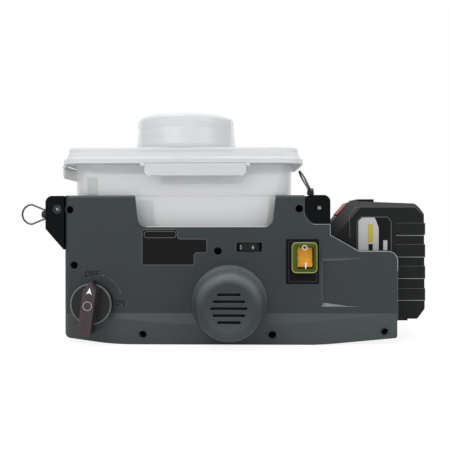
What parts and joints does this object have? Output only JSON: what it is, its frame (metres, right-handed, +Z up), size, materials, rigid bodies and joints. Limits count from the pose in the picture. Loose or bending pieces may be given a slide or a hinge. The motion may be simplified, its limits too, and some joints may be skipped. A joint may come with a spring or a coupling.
{
  "type": "airless paint sprayer",
  "caption": "Portable cordless airless paint sprayer: moulded housing with a top tank and screw-capped filler, motor cover, prime valve knob, switch and slide-on battery.",
  "frame": {"origin": "on the flat base, in the middle of the housing's depth, below the motor's axis", "axes": "+X to the battery end, +Y to the back, +Z up"},
  "size_m": [0.3965, 0.193, 0.2238],
  "materials": {
    "housing_plastic": "satin moulded",
    "bracket_plastic": "satin moulded",
    "black_plastic": "satin",
    "knob_plastic": "semi-gloss",
    "dial_plastic": "satin",
    "battery_plastic": "fine textured",
    "terminal_plastic": "satin",
    "button_red": "satin",
    "tank_plastic": "frosted translucent",
    "lid_plastic": "frosted translucent",
    "latch_plastic": "frosted translucent",
    "cap_clear": "clear",
    "liner_plastic": "frosted",
    "tube_plastic": "satin",
    "return_tube_plastic": "satin",
    "strainer_plastic": "satin",
    "gasket_rubber": "soft",
    "gear_plastic": "satin",
    "board_green": "satin",
    "boot_clear": "clear tinted",
    "rocker_amber": "glossy",
    "cell_wrap": "shrink wrapped",
    "screw_steel": "blackened",
    "motor_steel": "plated",
    "shaft_steel": "ground",
    "gear_metal": "cast",
    "pump_metal": "machined",
    "fitting_brass": "plated",
    "swivel_metal": "darkened",
    "ring_chrome": "polished"
  },
  "bodies": {
    "housing": {"front_shell": "housing_plastic", "rear_shell": "housing_plastic", "shell_screws": "screw_steel", "motor_cover": "housing_plastic", "motor": "motor_steel", "gear_case": "gear_metal", "pump_block": "pump_metal", "inlet_tube": "tube_plastic", "inlet_strainer": "strainer_plastic", "outlet_fitting": "fitting_brass", "valve_body": "pump_metal", "return_tube": "return_tube_plastic", "speed_potentiometer": "black_plastic", "control_board": "board_green", "switch_body": "black_plastic", "switch_boot": "boot_clear", "left_strap_bracket": "bracket_plastic", "right_strap_bracket": "bracket_plastic", "bracket_screws": "screw_steel", "paint_tank": "tank_plastic", "battery_rails": "black_plastic", "terminal_block": "terminal_plastic"},
    "rotor": {"motor_pinion": "shaft_steel"},
    "drive": {"drive_gear": "gear_plastic", "crank": "shaft_steel"},
    "plunger": {"plunger": "shaft_steel"},
    "valve_knob": {"valve_knob": "knob_plastic", "valve_stem": "shaft_steel"},
    "speed_dial": {"speed_dial": "dial_plastic"},
    "rocker": {"rocker": "rocker_amber"},
    "lid": {"tank_lid": "lid_plastic", "lid_gasket": "gasket_rubber"},
    "front_latch": {"front_lid_latch": "latch_plastic"},
    "rear_latch": {"rear_lid_latch": "latch_plastic"},
    "left_latch": {"left_lid_latch": "latch_plastic"},
    "cap_liner": {"cap_liner": "liner_plastic"},
    "filler_cap": {"filler_cap": "cap_clear"},
    "left_swivel": {"left_swivel_eye": "swivel_metal"},
    "left_ring": {"left_strap_ring": "ring_chrome"},
    "right_swivel": {"right_swivel_eye": "swivel_metal"},
    "right_ring": {"right_strap_ring": "ring_chrome"},
    "battery": {"battery_case": "battery_plastic", "battery_cells": "cell_wrap"},
    "battery_button": {"battery_button": "button_red"}
  },
  "joints": [
    {"name": "rotor_spin", "type": "hinge", "parent": "housing", "child": "rotor", "pos_m": [-0.0012, 0.014, 0.0392], "axis": [0, 1, 0], "continuous": true},
    {"name": "drive_spin", "type": "hinge", "parent": "housing", "child": "drive", "pos_m": [-0.0278, 0.014, 0.0392], "axis": [0, 1, 0], "continuous": true},
    {"name": "plunger_stroke", "type": "slide", "parent": "housing", "child": "plunger", "axis": [-1, 0, 0], "range_m": [0, 0.007]},
    {"name": "valve_turn", "type": "hinge", "parent": "housing", "child": "valve_knob", "pos_m": [-0.1317, -0.066, 0.039], "axis": [0, 1, 0], "range_deg": [0, 90]},
    {"name": "dial_turn", "type": "hinge", "parent": "housing", "child": "speed_dial", "pos_m": [0.0176, -0.0514, 0.0923], "axis": [0, 0, 1], "range_deg": [-135, 135]},
    {"name": "rocker_tilt", "type": "hinge", "parent": "housing", "child": "rocker", "pos_m": [0.0693, -0.0608, 0.08265], "axis": [1, 0, 0], "range_deg": [0, 14]},
    {"name": "lid_lift", "type": "slide", "parent": "housing", "child": "lid", "axis": [0, 0, 1], "range_m": [0, 0.05]},
    {"name": "front_latch_turn", "type": "hinge", "parent": "lid", "child": "front_latch", "pos_m": [-0.034, -0.0633, 0.1711], "axis": [-1, 0, 0], "range_deg": [0, 140]},
    {"name": "rear_latch_turn", "type": "hinge", "parent": "lid", "child": "rear_latch", "pos_m": [-0.034, 0.0633, 0.1711], "axis": [1, 0, 0], "range_deg": [0, 140]},
    {"name": "left_latch_turn", "type": "hinge", "parent": "lid", "child": "left_latch", "pos_m": [-0.1668, 0, 0.1711], "axis": [0, 1, 0], "range_deg": [0, 140]},
    {"name": "cap_rise", "type": "slide", "parent": "lid", "child": "cap_liner", "axis": [0, 0, 1], "range_m": [0, 0.009]},
    {"name": "cap_turn", "type": "hinge", "parent": "cap_liner", "child": "filler_cap", "pos_m": [-0.0475, 0, 0.2], "axis": [0, 0, 1], "range_deg": [0, 720]},
    {"name": "left_swivel_turn", "type": "hinge", "parent": "housing", "child": "left_swivel", "pos_m": [-0.1775, -0.053, 0.124], "axis": [1, 0, 0], "continuous": true},
    {"name": "left_ring_turn", "type": "hinge", "parent": "left_swivel", "child": "left_ring", "pos_m": [-0.18165, -0.053, 0.124], "axis": [0, 0, 1], "range_deg": [-85, 85]},
    {"name": "right_swivel_turn", "type": "hinge", "parent": "housing", "child": "right_swivel", "pos_m": [0.077, -0.053, 0.142], "axis": [0, 0, 1], "continuous": true},
    {"name": "right_ring_turn", "type": "hinge", "parent": "right_swivel", "child": "right_ring", "pos_m": [0.077, -0.053, 0.14615], "axis": [0, 1, 0], "range_deg": [-10, 115]},
    {"name": "battery_slide", "type": "slide", "parent": "housing", "child": "battery", "axis": [0, 0, 1], "range_m": [0, 0.07]},
    {"name": "button_press", "type": "slide", "parent": "battery", "child": "battery_button", "axis": [0.7541, 0, -0.6567], "range_m": [0, 0.003], "stiffness_N_per_m": 400}
  ],
  "couplings": [
    {"joint": "drive_spin", "follows": "rotor_spin", "ratio": -0.22326},
    {"joint": "cap_rise", "follows": "cap_turn", "m_per_rad": 0.00063662}
  ]
}
